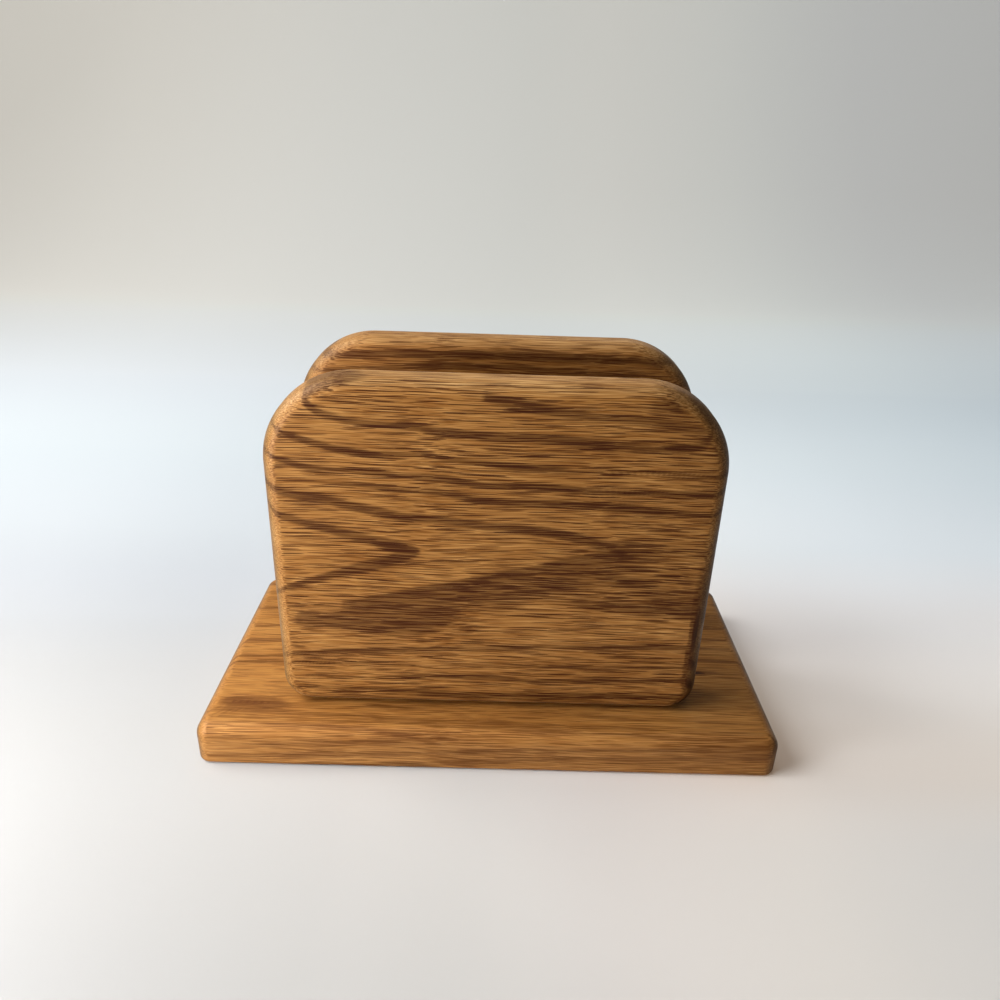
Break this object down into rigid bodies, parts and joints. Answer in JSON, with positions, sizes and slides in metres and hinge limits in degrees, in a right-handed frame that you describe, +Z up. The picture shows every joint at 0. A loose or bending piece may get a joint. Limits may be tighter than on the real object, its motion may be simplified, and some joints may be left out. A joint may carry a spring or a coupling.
{
  "type": "napkin holder",
  "caption": "Upright oak napkin holder: rounded panels standing on a flat rectangular base, with an open slot between them that holds folded napkins on edge.",
  "frame": {"origin": "centre of the base board's footprint, on the surface it rests on", "axes": "+Z up, +X along the boards' grain and the slot, the wide way of the object, +Y from the front edge of the base towards its rear edge"},
  "size_m": [0.2508, 0.127, 0.1671],
  "materials": {
    "oak_base": "satin",
    "oak_front": "satin",
    "oak_rear": "satin",
    "zinc_steel": "satin"
  },
  "bodies": {
    "root": {"base_board": "oak_base", "front_panel": "oak_front", "rear_panel": "oak_rear", "panel_screws": "zinc_steel"}
  },
  "joints": []
}
